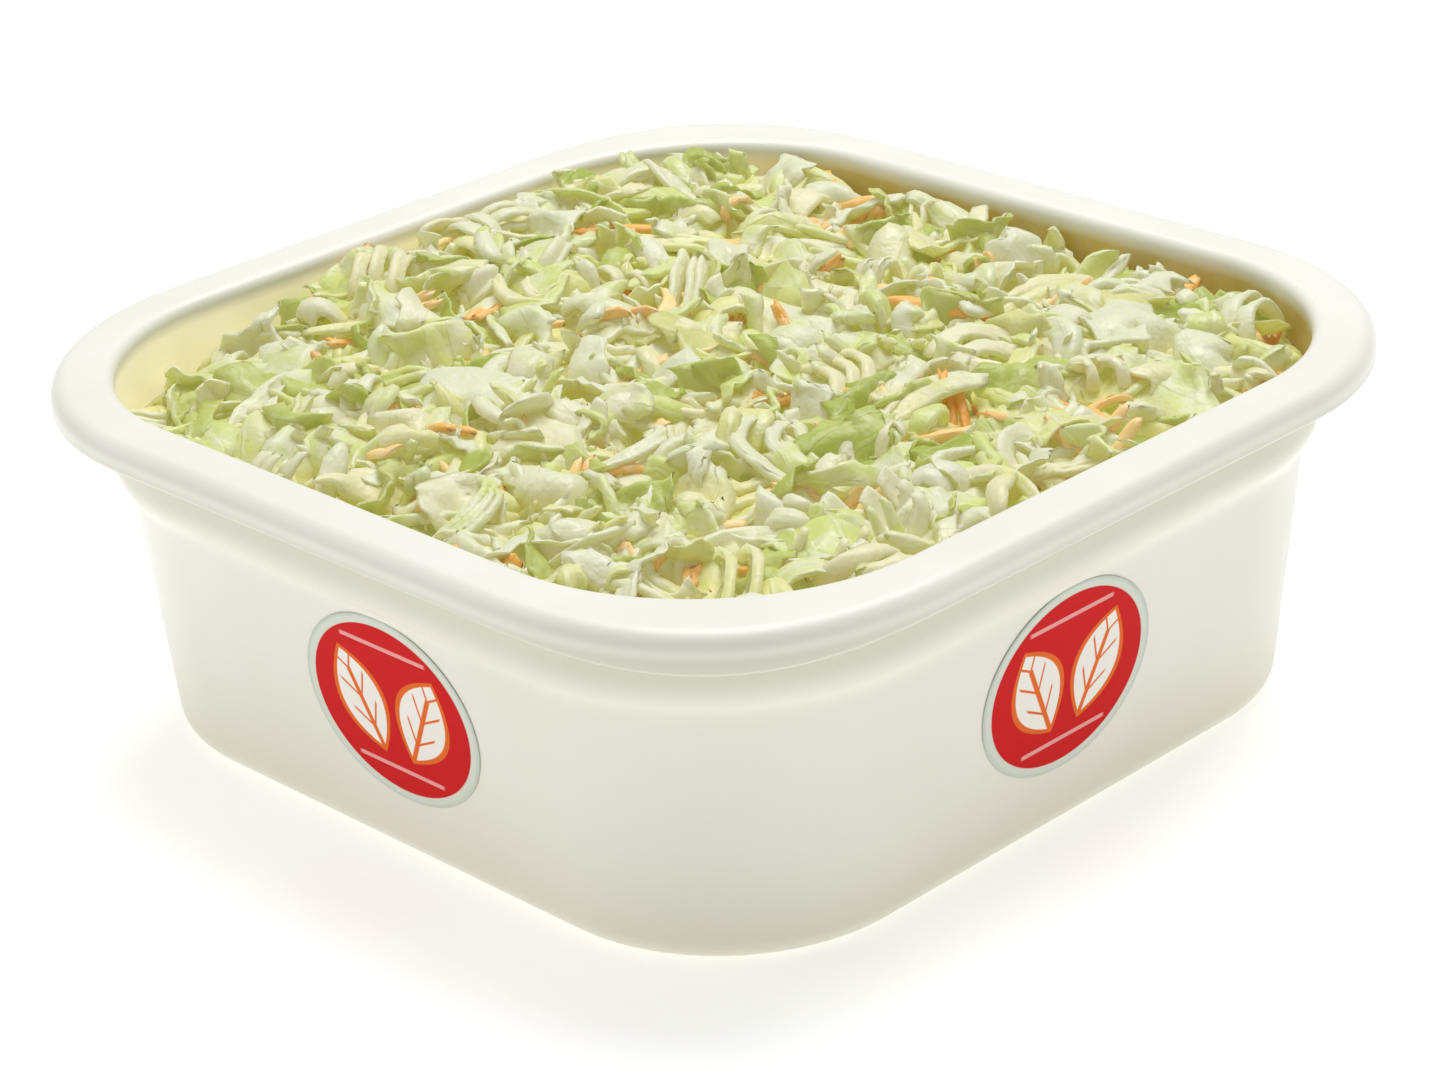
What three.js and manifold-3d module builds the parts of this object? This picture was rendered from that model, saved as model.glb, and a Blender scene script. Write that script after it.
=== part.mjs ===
// Coleslaw in the square plastic tub that it is sold in.
// Three kinds of piece: the thin-walled tub, the slaw that fills it, and two oval stickers.
// Millimetres, +Z up. The origin is under the middle of the tub, on the surface it stands on.
// The tub's sides face along X and Y.

import * as THREE from "three";
import { mergeVertices } from "three/addons/utils/BufferGeometryUtils.js";
import Module from "manifold-3d";

// Tub, outside. A "half" is half of the side of a rounded square, seen from above.
const TUB_HEIGHT = 49;
const RIM_HALF = 70;
const CORE_HALF = 31.8; // half of the straight stretch of a side, the same at every height
const WALL = 1.2;
const RIM_EDGE_R = 2.2; // rounding of the rim's outer edge
const MOUTH_EDGE_R = 1.5; // rounding of the edge round the mouth
const SKIRT_DROP = 3.7; // how far the rim's skirt hangs down
const SKIRT_WALL = 1.1;
const LIP_REACH = 2.4; // at two opposite corners the rim juts out by this much more
const LIP_DROP = 1.2; // and hangs lower by this much
const SHOULDER_HALF = 63.2; // the stacking shoulder under the rim
const SHOULDER_LEVEL = 39; // its side is upright down to here
const SHOULDER_SLOPE = Math.PI / 6; // how steeply its rounded underside meets the wall
const WALL_TOP_HALF = 61.3; // the wall proper, just under the shoulder
const WALL_TOP = 34.4;
const WALL_FOOT_HALF = 58.2;
const FOOT_R = 3.6; // rounding between wall and base
const RECESS_DEPTH = 0.8; // the base is lifted inside its foot ring
const RECESS_HALF = 51.5;
const FLOOR_TOP = RECESS_DEPTH + WALL;

// Slaw
const GAP = 0.4; // clearance between the slaw and the tub
const MOUTH_HALF = SHOULDER_HALF - WALL;
const SLAW_HALF = MOUTH_HALF - GAP;
const HEAP_EDGE_LEVEL = TUB_HEIGHT - 6.4; // the bare heap where it meets the wall
const HEAP_RISE = 1.0; // how much higher it is in the middle
const SLAW_TOP = TUB_HEIGHT - 4.4; // no leaf or shred reaches higher
const LUMP_HEIGHT = 0.6;
const LUMP_LENGTH = 23;
const DIPS = [
  { x: -48, y: -44, depth: 3.2, reach: 24 },
  { x: 24, y: 58, depth: 2.4, reach: 12 },
  { x: 40, y: -36, depth: 1.2, reach: 18 },
];
const PIECE_PITCH = 11.5; // leaves, shreds and sticks lie one to a cell of this grid
const PLACE_TRIES = 12;
const SLAW_SEED = 7;
const FINEST_DETAIL = 0.03; // slivers narrower than this, left where pieces cross, are closed up

// What is in the slaw: its share of the pieces, the ranges of its length and width, its thickness,
// how far it turns along its length (radians), how deep it is cupped, and its cells along and across.
const KINDS = [
  { share: 0.36, length: [11, 20], width: [8, 13], thick: 1.1, bend: 0.35, cup: 1.4, cells: [3, 2] }, // leaf
  { share: 0.44, length: [15, 28], width: [2.8, 4.8], thick: 1.3, bend: 0.9, cup: 0.3, cells: [5, 1] }, // shred
  { share: 0.2, length: [8, 15], width: [1.8, 2.3], thick: 1.6, bend: 0.3, cup: 0, cells: [2, 1] }, // carrot
];

// Stickers, one on each of the sides -Y and +X
const STICKER_HALF_WIDTH = 15.2;
const STICKER_HALF_HEIGHT = 12.5;
const STICKER_THICKNESS = 0.3;
const STICKER_GAP = 0.3;
const STICKER_LEVEL = 21.6;

// How finely the outlines are stepped
const TUB_ARC_STEPS = 9;
const TUB_SIDE_STEPS = 1;
const SLAW_ARC_STEPS = 5;
const SLAW_SIDE_STEPS = 4;
const EDGE_STEPS = 3;
const SHOULDER_STEPS = 3;

const materials = {
  tub: new THREE.MeshStandardMaterial({ color: 0xe6e4d4, roughness: 0.38, metalness: 0 }),
  slaw: new THREE.MeshStandardMaterial({ color: 0xd9e2b4, roughness: 0.45, metalness: 0 }),
  sticker: new THREE.MeshStandardMaterial({ color: 0xd0161c, roughness: 0.35, metalness: 0 }),
};

const wasm = await Module();
wasm.setup();

/** A generator of numbers from 0 to 1 that gives the same run each time. */
function seededRandom(seed) {
  let state = seed;
  return () => {
    state = (state + 0x6d2b79f5) | 0;
    let t = Math.imul(state ^ (state >>> 15), 1 | state);
    t = (t + Math.imul(t ^ (t >>> 7), 61 | t)) ^ t;
    return ((t ^ (t >>> 14)) >>> 0) / 4294967296;
  };
}

/** Points of a quarter turn from angle 0 to 90 degrees, as [cos, sin] pairs. */
function quarterTurn(steps) {
  return Array.from({ length: steps + 1 }, (_, i) => {
    const angle = (i / steps) * (Math.PI / 2);
    return [Math.cos(angle), Math.sin(angle)];
  });
}

/** The columns of a rounded square: for each, a point of the core square and the way it faces. */
function squareColumns(arcSteps, sideSteps) {
  const columns = [];
  for (let quarter = 0; quarter < 4; quarter++) {
    const start = (quarter * Math.PI) / 2;
    const corner = new THREE.Vector2(CORE_HALF, CORE_HALF).rotateAround(new THREE.Vector2(), start);
    for (let i = 0; i <= arcSteps; i++) {
      const angle = start + ((i / arcSteps) * Math.PI) / 2;
      columns.push({ core: corner, facing: new THREE.Vector2(Math.cos(angle), Math.sin(angle)) });
    }
    const next = corner.clone().rotateAround(new THREE.Vector2(), Math.PI / 2);
    const facing = columns.at(-1).facing;
    for (let i = 1; i < sideSteps; i++) {
      columns.push({ core: corner.clone().lerp(next, i / sideSteps), facing });
    }
  }
  return columns;
}

/** How much of the lip there is where the rim faces this way: all of it at +X-Y and -X+Y. */
const lipShare = (facing) => Math.max(-2 * facing.x * facing.y, 0) ** 2;

/**
 * A closed shell whose plan is a rounded square. Each ring has a half side, a height or a function
 * that gives the height at x and y, and a share: 1 is the full ring, and 0 is its middle point.
 * A ring of the rim may also jut out and hang down at the lips.
 */
function squareLathe(rings, arcSteps, sideSteps) {
  const columns = squareColumns(arcSteps, sideSteps);
  const profile = rings.map(({ half, share = 1 }, i) => new THREE.Vector2(half * share, i));
  const geometry = new THREE.LatheGeometry(profile, columns.length);
  const position = geometry.attributes.position;
  for (let i = 0; i < position.count; i++) {
    const { half, z, share = 1, out = 0, down = 0 } = rings[i % rings.length];
    const { core, facing } = columns[Math.floor(i / rings.length) % columns.length];
    const reach = half - CORE_HALF + out * lipShare(facing);
    const x = share * (core.x + facing.x * reach);
    const y = share * (core.y + facing.y * reach);
    position.setXYZ(i, x, y, (typeof z === "function" ? z(x, y) : z) - down * lipShare(facing));
  }
  return geometry;
}

/** A geometry as a manifold solid, its vertices merged by place. */
function solidOf(geometry) {
  const bare = geometry.clone();
  for (const name of ["normal", "uv"]) bare.deleteAttribute(name);
  const merged = mergeVertices(bare, 1e-3);
  return new wasm.Manifold(
    new wasm.Mesh({
      numProp: 3,
      vertProperties: new Float32Array(merged.attributes.position.array),
      triVerts: new Uint32Array(merged.index.array),
    }),
  );
}

/** A manifold solid back as a geometry. */
function geometryOf(solid) {
  const mesh = solid.getMesh();
  const places = new Float32Array(mesh.numVert * 3);
  for (let i = 0; i < mesh.numVert; i++) {
    const first = i * mesh.numProp;
    places.set(mesh.vertProperties.subarray(first, first + 3), i * 3);
  }
  return new THREE.BufferGeometry()
    .setAttribute("position", new THREE.BufferAttribute(places, 3))
    .setIndex(new THREE.BufferAttribute(mesh.triVerts, 1));
}

// ---- the tub

/** The shoulder's rounded underside, from the top of the wall out and up, set in by the inset. */
function shoulderCurve(inset) {
  const out = SHOULDER_HALF - WALL_TOP_HALF;
  const rise = SHOULDER_LEVEL - WALL_TOP;
  return Array.from({ length: SHOULDER_STEPS + 1 }, (_, i) => {
    const angle = THREE.MathUtils.lerp(SHOULDER_SLOPE, Math.PI / 2, i / SHOULDER_STEPS);
    const outShare = (Math.sin(angle) - Math.sin(SHOULDER_SLOPE)) / (1 - Math.sin(SHOULDER_SLOPE));
    const riseShare = 1 - Math.cos(angle) / Math.cos(SHOULDER_SLOPE);
    return { half: WALL_TOP_HALF - inset + out * outShare, z: WALL_TOP + rise * riseShare };
  });
}

/** The rounding between the base and a wall, from the base outwards and up. */
function footCurve(half, base, radius) {
  return quarterTurn(EDGE_STEPS).map(([cos, sin]) => ({
    half: half - radius + radius * sin,
    z: base + radius * (1 - cos),
  }));
}

function tubGeometry() {
  const underRim = TUB_HEIGHT - WALL;
  const skirtFoot = TUB_HEIGHT - SKIRT_DROP;
  const skirtInside = RIM_HALF - SKIRT_WALL;
  const rimEdge = quarterTurn(EDGE_STEPS).map(([cos, sin]) => ({
    half: RIM_HALF - RIM_EDGE_R + RIM_EDGE_R * cos,
    z: TUB_HEIGHT - RIM_EDGE_R + RIM_EDGE_R * sin,
    out: LIP_REACH,
  }));
  const mouthEdge = quarterTurn(EDGE_STEPS).map(([cos, sin]) => ({
    half: MOUTH_HALF + MOUTH_EDGE_R - MOUTH_EDGE_R * sin,
    z: TUB_HEIGHT - MOUTH_EDGE_R + MOUTH_EDGE_R * cos,
  }));
  const outside = [
    { half: RECESS_HALF, z: RECESS_DEPTH, share: 0 },
    { half: RECESS_HALF, z: RECESS_DEPTH },
    { half: RECESS_HALF + RECESS_DEPTH, z: 0 },
    ...footCurve(WALL_FOOT_HALF, 0, FOOT_R),
    ...shoulderCurve(0),
    { half: SHOULDER_HALF, z: underRim },
    { half: skirtInside, z: underRim, out: LIP_REACH },
    { half: skirtInside, z: skirtFoot, out: LIP_REACH, down: LIP_DROP },
    { half: RIM_HALF, z: skirtFoot, out: LIP_REACH, down: LIP_DROP },
  ];
  const inside = [
    ...shoulderCurve(WALL).reverse(),
    ...footCurve(WALL_FOOT_HALF - WALL, FLOOR_TOP, FOOT_R - WALL).reverse(),
    { half: RECESS_HALF, z: FLOOR_TOP, share: 0 },
  ];
  return squareLathe([...outside, ...rimEdge, ...mouthEdge, ...inside], TUB_ARC_STEPS, TUB_SIDE_STEPS);
}

// ---- the slaw

/** How far a point of the plan is outside the core square's rounded neighbourhood, as a half side. */
function halfAt(x, y) {
  const dx = Math.max(Math.abs(x) - CORE_HALF, 0);
  const dy = Math.max(Math.abs(y) - CORE_HALF, 0);
  const inner = Math.max(Math.abs(x), Math.abs(y));
  return dx + dy > 0 ? CORE_HALF + Math.hypot(dx, dy) : inner;
}

/** Height of the bare heap: a low dome with gentle lumps and a few dips. */
function heapLevel(x, y) {
  const share = Math.min(halfAt(x, y) / SLAW_HALF, 1);
  const dome = HEAP_RISE * (1 - share ** 3);
  const turn = (2 * Math.PI) / LUMP_LENGTH;
  const lumps = Math.sin(x * turn + 1.3 * Math.sin(y * turn * 0.6)) * Math.cos(y * turn * 0.85 + 0.7);
  const dips = DIPS.map((dip) => dip.depth * Math.exp(-(((x - dip.x) ** 2 + (y - dip.y) ** 2) / dip.reach ** 2)));
  return HEAP_EDGE_LEVEL + dome + LUMP_HEIGHT * lumps - dips.reduce((sum, dip) => sum + dip, 0);
}

function slawCore() {
  const floor = FLOOR_TOP + GAP;
  const foot = WALL_FOOT_HALF - WALL - GAP;
  const sides = [
    { half: foot - FOOT_R + WALL, z: floor, share: 0 },
    { half: foot - FOOT_R + WALL, z: floor },
    { half: foot, z: floor + FOOT_R - WALL },
    { half: WALL_TOP_HALF - WALL - GAP, z: WALL_TOP },
    { half: SLAW_HALF - 0.3, z: SHOULDER_LEVEL - 1 },
  ];
  const shares = [1, 0.88, 0.75, 0.62, 0.49, 0.36, 0.22, 0];
  const top = shares.map((share) => ({ half: SLAW_HALF, z: heapLevel, share }));
  return squareLathe([...sides, ...top], SLAW_ARC_STEPS, SLAW_SIDE_STEPS);
}

/** A number in a range. */
const within = ([low, high], random) => low + (high - low) * random();

/**
 * One piece: a thin box, narrowed to its ends, bent along its length, cupped, waved and laid on
 * the heap round x0, y0. It is null where it would reach past the heap's edge.
 */
function laidPiece(kind, x0, y0, random) {
  const length = within(kind.length, random);
  const width = within(kind.width, random);
  const yaw = 2 * Math.PI * random();
  const bend = kind.bend * (2 * random() - 1);
  const slope = 0.14 * (2 * random() - 1);
  const wave = 0.3 + 0.7 * random();
  const phase = 2 * Math.PI * random();
  const cup = kind.cup * (random() < 0.65 ? -1 : 1);
  const lift = 0.5 + 0.9 * random();
  const geometry = new THREE.BoxGeometry(length, width, kind.thick, ...kind.cells, 1);
  const position = geometry.attributes.position;
  let highest = -Infinity;
  for (let i = 0; i < position.count; i++) {
    const along = position.getX(i) / length;
    const across = position.getY(i) / width;
    const narrow = 1 - Math.abs(2 * along) ** 3 * (0.5 + 0.25 * Math.sin(phase + 5 * along));
    const side = width * across * narrow;
    const angle = yaw + bend * along;
    const x = x0 + length * along * Math.cos(angle) - side * Math.sin(angle);
    const y = y0 + length * along * Math.sin(angle) + side * Math.cos(angle);
    if (halfAt(x, y) > SLAW_HALF) return null;
    const waved = slope * length * along + wave * Math.sin(phase + 7 * along + 3 * across);
    const cupped = cup * (4 * across ** 2 - 0.5) * narrow;
    const z = heapLevel(x, y) + lift + waved + cupped + position.getZ(i);
    position.setXYZ(i, x, y, z);
    highest = Math.max(highest, z);
  }
  return geometry.translate(0, 0, Math.min(SLAW_TOP - highest, 0));
}

/** The places of the pieces: the cells of a grid over the heap, each place shifted a little. */
function piecePlaces(random) {
  const places = [];
  const count = Math.floor((2 * SLAW_HALF) / PIECE_PITCH);
  for (let row = 0; row < count; row++) {
    for (let column = 0; column < count; column++) {
      const x = (column + 0.5 - count / 2 + 0.7 * (random() - 0.5)) * PIECE_PITCH;
      const y = (row + 0.5 - count / 2 + 0.7 * (random() - 0.5)) * PIECE_PITCH;
      if (halfAt(x, y) < SLAW_HALF - 3) places.push([x, y]);
    }
  }
  return places;
}

/** Draws a kind of piece by its share. */
function drawKind(random) {
  let left = random();
  return KINDS.find((kind) => (left -= kind.share) < 0) ?? KINDS[0];
}

/** The heap: its core with every piece that fits fused on, without loose scraps and sealed hollows. */
function slawGeometry() {
  const random = seededRandom(SLAW_SEED);
  const solids = [solidOf(slawCore())];
  for (const [x, y] of piecePlaces(random)) {
    const kind = drawKind(random);
    let piece = null;
    for (let tries = 0; tries < PLACE_TRIES && !piece; tries++) piece = laidPiece(kind, x, y, random);
    if (piece) solids.push(solidOf(piece));
  }
  const fused = solidOf(geometryOf(wasm.Manifold.union(solids).simplify(FINEST_DETAIL)));
  const bodies = fused.decompose().sort((a, b) => b.volume() - a.volume());
  return geometryOf(bodies[0]);
}

// ---- the stickers

function stickerGeometry() {
  const outline = new THREE.Shape();
  outline.absellipse(0, 0, STICKER_HALF_WIDTH, STICKER_HALF_HEIGHT, 0, 2 * Math.PI);
  return new THREE.ExtrudeGeometry(outline, {
    depth: STICKER_THICKNESS,
    bevelEnabled: false,
    curveSegments: 10,
  });
}

/** A sticker on the wall that faces -Y before the group is turned, shift along the wall. */
function sticker(name, turn, shift) {
  const lean = Math.atan2(WALL_TOP_HALF - WALL_FOOT_HALF, WALL_TOP - FOOT_R);
  const rise = (STICKER_LEVEL - FOOT_R) / (WALL_TOP - FOOT_R);
  const wallHalf = THREE.MathUtils.lerp(WALL_FOOT_HALF, WALL_TOP_HALF, rise);
  const mesh = new THREE.Mesh(stickerGeometry(), materials.sticker);
  mesh.name = name;
  mesh.rotation.x = Math.PI / 2 + lean;
  mesh.position.set(shift, -wallHalf, STICKER_LEVEL);
  mesh.translateZ(STICKER_GAP);
  const group = new THREE.Group();
  group.rotation.z = turn;
  group.add(mesh);
  return group;
}

/** A named mesh. */
function named(name, geometry, material) {
  const mesh = new THREE.Mesh(geometry, material);
  mesh.name = name;
  return mesh;
}

const coleslaw = new THREE.Group();
coleslaw.add(named("tub", tubGeometry(), materials.tub));
coleslaw.add(named("slaw", slawGeometry(), materials.slaw));
coleslaw.add(sticker("sticker_left", 0, 4.8));
coleslaw.add(sticker("sticker_right", Math.PI / 2, -2.9));

export default coleslaw;
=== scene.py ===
"""Coleslaw in its square tub: the fine surfaces and finishes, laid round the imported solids.

The tub is ivory plastic with a rolled rim, and two oval stickers. The slaw is a bed of relief
with the cut cabbage, green leaf and carrot laid on it one by one, each resting on those below.
Sizes are in millimetres until a mesh is made, and in metres after that.
"""

import math

import bpy
import numpy as np
from mathutils import Matrix, Vector


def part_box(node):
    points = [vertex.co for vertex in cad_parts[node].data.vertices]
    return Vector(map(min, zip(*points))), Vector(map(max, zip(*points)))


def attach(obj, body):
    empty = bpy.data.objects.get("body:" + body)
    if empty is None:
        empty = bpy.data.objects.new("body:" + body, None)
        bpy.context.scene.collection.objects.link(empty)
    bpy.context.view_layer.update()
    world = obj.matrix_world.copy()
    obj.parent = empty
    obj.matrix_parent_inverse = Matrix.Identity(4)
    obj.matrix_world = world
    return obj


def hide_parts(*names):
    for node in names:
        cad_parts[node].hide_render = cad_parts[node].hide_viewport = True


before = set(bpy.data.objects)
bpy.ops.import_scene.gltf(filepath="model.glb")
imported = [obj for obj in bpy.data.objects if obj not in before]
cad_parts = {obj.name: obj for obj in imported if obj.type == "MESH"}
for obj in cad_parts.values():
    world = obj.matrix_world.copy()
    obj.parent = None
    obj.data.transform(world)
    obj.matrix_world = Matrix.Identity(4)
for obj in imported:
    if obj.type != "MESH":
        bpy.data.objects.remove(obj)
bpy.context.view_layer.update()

MM = 0.001

# The photograph's view
PHOTO_WIDTH = 1440
PHOTO_HEIGHT = 1080
VIEW_AZIMUTH = math.radians(45.6)
VIEW_ELEVATION = math.radians(23.83)
VIEW_ROLL = math.radians(-2.66)
VIEW_DISTANCE = 483.8
FOCAL_PIXELS = 3784.75
SENSOR_WIDTH = 36.0
AIM_HEIGHT = 29.4
AIM_PIXEL = (718.2, 478.0)  # where the point that the camera aims at shows in the photograph

# The tub. A half is half of the side of a rounded square, seen from above.
TUB_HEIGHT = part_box("tub")[1][2] / MM
RIM_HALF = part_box("tub")[1][0] / MM
CORE_HALF = 31.8
WALL = 1.2
RIM_EDGE_R = 2.2
MOUTH_EDGE_R = 1.5
SKIRT_DROP = 3.7
SKIRT_WALL = 1.1
LIP_REACH = 2.4  # how much further the rim reaches at its near and far corners
LIP_DROP = 1.2  # and how much lower its skirt hangs there
SHOULDER_HALF = 63.2
SHOULDER_LEVEL = 39
SHOULDER_SLOPE = math.pi / 6
WALL_TOP_HALF = 61.3
WALL_TOP = 34.4
HOLLOW = 1.6  # how far below the top of the wall the hollow under the shoulder begins
WALL_FOOT_HALF = 58.2
FOOT_R = 3.6
RIM_ROOT_R = 0.9  # between the shoulder and the underside of the rim
SKIRT_ROOT_R = 0.6  # between that and the rim's skirt
RECESS_DEPTH = 0.8
RECESS_HALF = 51.5
RECESS_EDGE = [(0, RECESS_DEPTH), (0.15, RECESS_DEPTH - 0.12), (0.65, 0.12), (0.85, 0)]  # out and up
FLOOR_TOP = RECESS_DEPTH + WALL
MOUTH_HALF = SHOULDER_HALF - WALL
ARC_STEPS = 28
SIDE_STEPS = 8

# Where the tub's colour changes, in metres: the first number has none of it, the second has all
FOOT_TINT = (0.016, 0.0)
# Painted shade under the rim: outside, the skirt and the shoulder's underside are painted darker between
# these heights
SKIRT_SHADE_TOP = (0.0468, 0.0456)
SKIRT_SHADE_FOOT = (0.034, 0.0395)
# The top of the tan inside, which is partly dressing and partly painted shade
FILM_AND_SHADE_TOP = (0.0488, 0.0479)
SHADED_FILM_SIDE = (-0.02, 0.02)  # x and y together: the side where the tan inside is painted darker, as shade
LIT_WALL = (-0.03, -0.055)  # x: where the inside of the wall has a painted glow

# The heap of slaw
SLAW_GAP = 0.3
SLAW_HALF = MOUTH_HALF - SLAW_GAP
HEAP_EDGE_LEVEL = TUB_HEIGHT - 6.4
HEAP_RISE = 1.0
LUMP_HEIGHT = 0.6
LUMP_LENGTH = 23
DIPS = [(-48, -44, 3.2, 24), (24, 58, 2.4, 12), (40, -36, 1.2, 18)]  # x, y, depth and reach
BED_DROP = 2.4  # how far the bed lies below the pile's level
BED_RELIEF = 0.9
BED_RINGS = 84
STRANDS = [(0.4, 4.1, 1.9), (1.5, 5.3, 1.4), (2.5, 3.4, 2.3)]  # the ridges' turn, pitch and sway
SWAY_LENGTH = 5.7
PILE_RISE = 5.0  # how far above the pile's level the last pieces lie
RISE_POWER = 0.6  # the power of a piece's order that its own rise follows
PILE_TOP = TUB_HEIGHT - 2.1  # but no higher than this at the walls
PILE_DOME = 2.6  # and this much more in the middle
BANKS = [  # x, y, height and reach
    (-61, -4, 2.2, 15), (-61, 20, 2.6, 20), (-59, 44, 2.0, 16), (28, 61, 2.4, 10), (49, 58, 1.8, 12),
]
BANK_SHARE = 0.4  # how much of a bank's height is added to the highest level
MOUND_HEIGHT = 1.3  # how far the pile rises and falls, where the heap is level
MOUND_LENGTH = 31
TIP_RISE = 1.8  # how much higher the tips of the pieces reach
PILE_CELL = 0.8
PILE_MARGIN = 2  # of the grid of heights, round the slaw
SLAW_SEED = 11
# the strength of the painted glow of the slaw
LEAF_GLOW = 0.3

# What is laid on the bed. Lengths, widths and thicknesses are ranges, and turns are in radians:
# curl up and down along the length, bend to a side, twist, and tilt and roll as a piece is laid.
# Blunt is the width of the ends and cup the bow across the piece, as shares of its width, ragged
# is the depth of its notches and crinkle the height of its waves. The grid is its points along
# and across, and round is how full its edges are. A stack is of pieces cut side by side, and the
# order tells the early pieces, 0, from the last ones, 1.
CUTS = {
    "cabbage_crumbs": {
        "count": 280, "length": (4, 9), "width": (2.5, 5), "thick": (0.8, 1.5), "blunt": (0.6, 1.0),
        "curl": 1.0, "bend": 0.7, "twist": 0.6, "cup": 0.3, "crinkle": 0.15, "ragged": 0.12,
        "tilt": 0.4, "roll": 0.4, "grid": (8, 7), "round": 3.5, "stack": 1, "order": (0, 0.6),
    },
    "cabbage_shreds": {
        "count": 250, "length": (13, 30), "width": (1.8, 3.3), "thick": (0.8, 1.4), "blunt": (0.8, 1.0),
        "curl": 2.0, "bend": 2.0, "twist": 0.9, "cup": 0.3, "crinkle": 0.25, "ragged": 0.12,
        "tilt": 0.25, "roll": 0.5, "grid": (19, 6), "round": 3.5, "stack": 3, "order": (0.1, 1),
    },
    "cabbage_curls": {
        "count": 250, "length": (14, 28), "width": (3, 6), "thick": (0.8, 1.5), "blunt": (0.75, 1.0),
        "curl": 3.4, "bend": 1.8, "twist": 1.3, "cup": 0.5, "crinkle": 0.35, "ragged": 0.13,
        "tilt": 0.4, "roll": 0.6, "grid": (21, 8), "round": 4, "stack": 1, "order": (0.2, 1),
    },
    "cabbage_flakes": {
        "count": 150, "length": (13, 25), "width": (8, 15), "thick": (0.6, 1.1), "blunt": (0.65, 1.0),
        "curl": 1.9, "bend": 0.7, "twist": 0.8, "cup": 0.5, "crinkle": 0.75, "ragged": 0.15,
        "tilt": 0.5, "roll": 0.5, "grid": (20, 13), "round": 6, "stack": 1, "order": (0.1, 0.93),
    },
    "cabbage_ribs": {
        "count": 90, "length": (10, 19), "width": (3.5, 7), "thick": (1.4, 2.4), "blunt": (0.6, 0.95),
        "curl": 1.8, "bend": 1.3, "twist": 0.8, "cup": 0.3, "crinkle": 0.2, "ragged": 0.08,
        "tilt": 0.4, "roll": 0.5, "grid": (15, 9), "round": 3, "stack": 1, "order": (0.2, 1),
    },
    "green_leaves": {
        "count": 80, "length": (10, 20), "width": (6, 12), "thick": (0.5, 0.9), "blunt": (0.65, 1.0),
        "curl": 1.6, "bend": 0.5, "twist": 0.7, "cup": 0.6, "crinkle": 0.7, "ragged": 0.16,
        "tilt": 0.4, "roll": 0.4, "grid": (19, 14), "round": 7, "stack": 1, "order": (0.2, 0.97),
    },
    "carrot_sticks": {
        "count": 95, "length": (5, 15), "width": (1.3, 2.3), "thick": (0.8, 1.3), "blunt": (0.5, 0.9),
        "curl": 0.9, "bend": 0.7, "twist": 1.1, "cup": 0.1, "crinkle": 0.12, "ragged": 0.16,
        "tilt": 0.25, "roll": 0.6, "grid": (12, 6), "round": 3.5, "stack": 2, "order": (0.5, 0.985),
    },
}

# Where the photograph shows a leaf or carrot on top: x and y
SHOWN = {
    "green_leaves": [
        (-5, 4), (-8, 19), (-36, -35), (24, -37), (-11, 45), (13, -4), (-55, 52), (-22, -50), (3, 52),
        (-24, -31), (-50, -46), (-58, 29),
    ],
    "carrot_sticks": [
        (-61, -12), (-57, -6), (-54, 1), (-4, -11), (-19, 3), (8, -43), (-10, -35), (37, -47), (18, -57),
        (52, 12), (47, 20), (20, 47), (25, 44), (30, 27), (-32, 58), (5, 13), (-14, 26), (25, 5), (33, 9),
        (32, -11), (-58, 22), (46, 26),
    ],
}

SHOWN_LEAN = 0.45  # how far these lean to the near corner
SHOWN_ORDER = (0.985, 1.0)

# How pieces are spread and stacked
SPREAD_X = 0.7548776662  # the step from one place to the next, in sides: it spreads them evenly
SPREAD_Y = 0.5698402910
PLACE_MARGIN = 2.5
STACK_PITCH = 1.1  # from one piece of a stack to the next, in widths
SLIP_ALONG = 1.2  # how far they are out of line
SLIP_UP = 0.5
STACK_SCALE = (0.85, 1.1)
TONE_SPREAD = 0.12

# How a piece comes to rest
WALL_ROOM = 0.6  # how far inside the slaw's edge its middle surface stays
PUSH = 0.85  # the whole piece moves in by this much of what reaches further
SQUEEZE = 1.25  # then its points move in by this much of what still does
SQUEEZE_LIFT = 0.6  # and up by this much
SUNK_SHARE = 0.35  # the share of its points that lie below the pile when it stops
DRAPE = 0.65  # these are lifted by this much of the way back
SAG = 0.08  # the others sink by this much of their height over the pile
LOW_SHARE = 0.85  # the share of its points that stays under the highest level
DEEPEST = 0.8  # how far below the bed's level a point may lie
OLD_SHARE = 0.45  # the pile's new height is so much of the old one
NEW_SHARE = 0.55  # and so much of the piece's
SHADE_ROOM = 2  # how far below the pile's level a point counts as fully deep

# The stickers
STICKER_HALF_WIDTH = 15.2
STICKER_HALF_HEIGHT = 12.5
STICKER_LEVEL = 21.6
LEFT_SHIFT = 4.8  # how far each lies from the middle of its side
RIGHT_SHIFT = -2.9
STICKER_THICKNESS = 0.1
STICKER_LIFT = 0.05
STICKER_STEPS = 96
RED_SHARE = 0.9  # the red field's size in the sticker
RED_EDGE = 0.006
STRIPE_LEVELS = (8.4, -8.2)
STRIPE_WIDTH = (0.34, 0.22)  # half of it, where the ink ends and where it is full
STRIPE_LENGTH = (7.8, 7.2)  # the same
MOTIF_MIDDLE = 5.4  # how far the middle of each printed leaf is from the sticker's
MOTIF_SINE = 0.42  # of the angle at which the leaves lean out
MOTIF_COSINE = 0.91
MOTIF_HALF_WIDTH = 3.9
MOTIF_HALF_LENGTH = 6.6

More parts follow.
